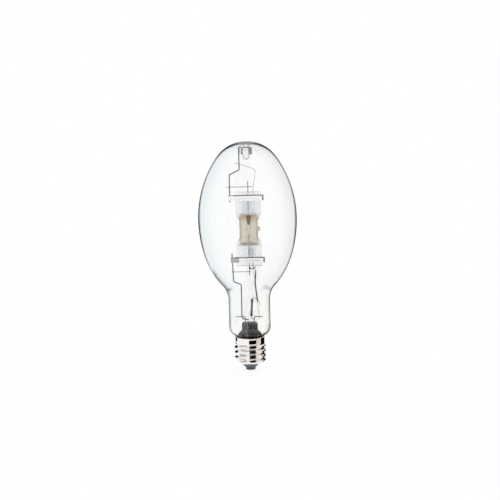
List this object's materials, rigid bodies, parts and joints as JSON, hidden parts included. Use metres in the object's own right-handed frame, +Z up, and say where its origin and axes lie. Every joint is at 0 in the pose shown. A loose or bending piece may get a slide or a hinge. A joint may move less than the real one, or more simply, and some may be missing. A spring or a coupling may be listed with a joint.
{
  "type": "metal halide lamp",
  "caption": "Clear elliptical discharge lamp with a screw cap, a glass stem, and a quartz arc tube held by straps, bent rods and a dimple clip.",
  "frame": {"origin": "centre of the face of the centre contact, at the foot of the lamp", "axes": "+Z up the lamp's axis from cap to crown, -Y towards the viewer of the picture, +X to the viewer's right"},
  "size_m": [0.1222, 0.1222, 0.2861],
  "materials": {
    "plated_brass": "rolled, nickel plated",
    "solder": "bright tin solder",
    "insulator_glass": "dark slate-blue glass",
    "cement": "dull cement",
    "bulb_glass": "clear, polished",
    "stem_glass": "dark clear glass",
    "quartz": "clear quartz, warm film inside",
    "nickel_wire": "drawn wire",
    "frame_steel": "drawn rod",
    "strap_steel": "bright rolled strip",
    "tungsten": "dark heat-stained metal",
    "molybdenum": "thin dull foil",
    "bimetal": "rolled strip",
    "resistor_coat": "charcoal coat"
  },
  "bodies": {
    "lamp": {"screw_shell": "plated_brass", "base_insulator": "insulator_glass", "centre_contact": "plated_brass", "contact_solder": "solder", "side_solder": "solder", "base_cement": "cement", "centre_lead": "nickel_wire", "shell_lead": "nickel_wire", "outer_bulb": "bulb_glass", "stem": "stem_glass", "left_lead_in": "nickel_wire", "right_lead_in": "nickel_wire", "lower_frame_rod": "frame_steel", "upper_frame_rod": "frame_steel", "upper_strap_front": "strap_steel", "upper_strap_rear": "strap_steel", "lower_strap_front": "strap_steel", "lower_strap_rear": "strap_steel", "upper_crosswire": "nickel_wire", "lower_crosswire": "nickel_wire", "return_lead": "nickel_wire", "dimple_clip": "strap_steel", "arc_tube": "quartz", "upper_electrode": "tungsten", "lower_electrode": "tungsten", "upper_electrode_coil": "tungsten", "lower_electrode_coil": "tungsten", "upper_seal_foil": "molybdenum", "lower_seal_foil": "molybdenum", "upper_outer_lead": "molybdenum", "lower_outer_lead": "molybdenum", "starting_probe": "tungsten", "probe_foil": "molybdenum", "probe_lead": "nickel_wire", "probe_splice": "nickel_wire", "probe_ribbon": "nickel_wire", "starting_resistor": "resistor_coat", "resistor_upper_lead": "nickel_wire", "resistor_lower_lead": "nickel_wire"},
    "bimetal": {"bimetal_strip": "bimetal"}
  },
  "joints": [
    {"name": "bimetal_bend", "type": "hinge", "parent": "lamp", "child": "bimetal", "pos_m": [0.0013, 0, 0.1286], "axis": [0, 0, 1], "range_deg": [0, 9], "stiffness_Nm_per_rad": 0.00005}
  ]
}
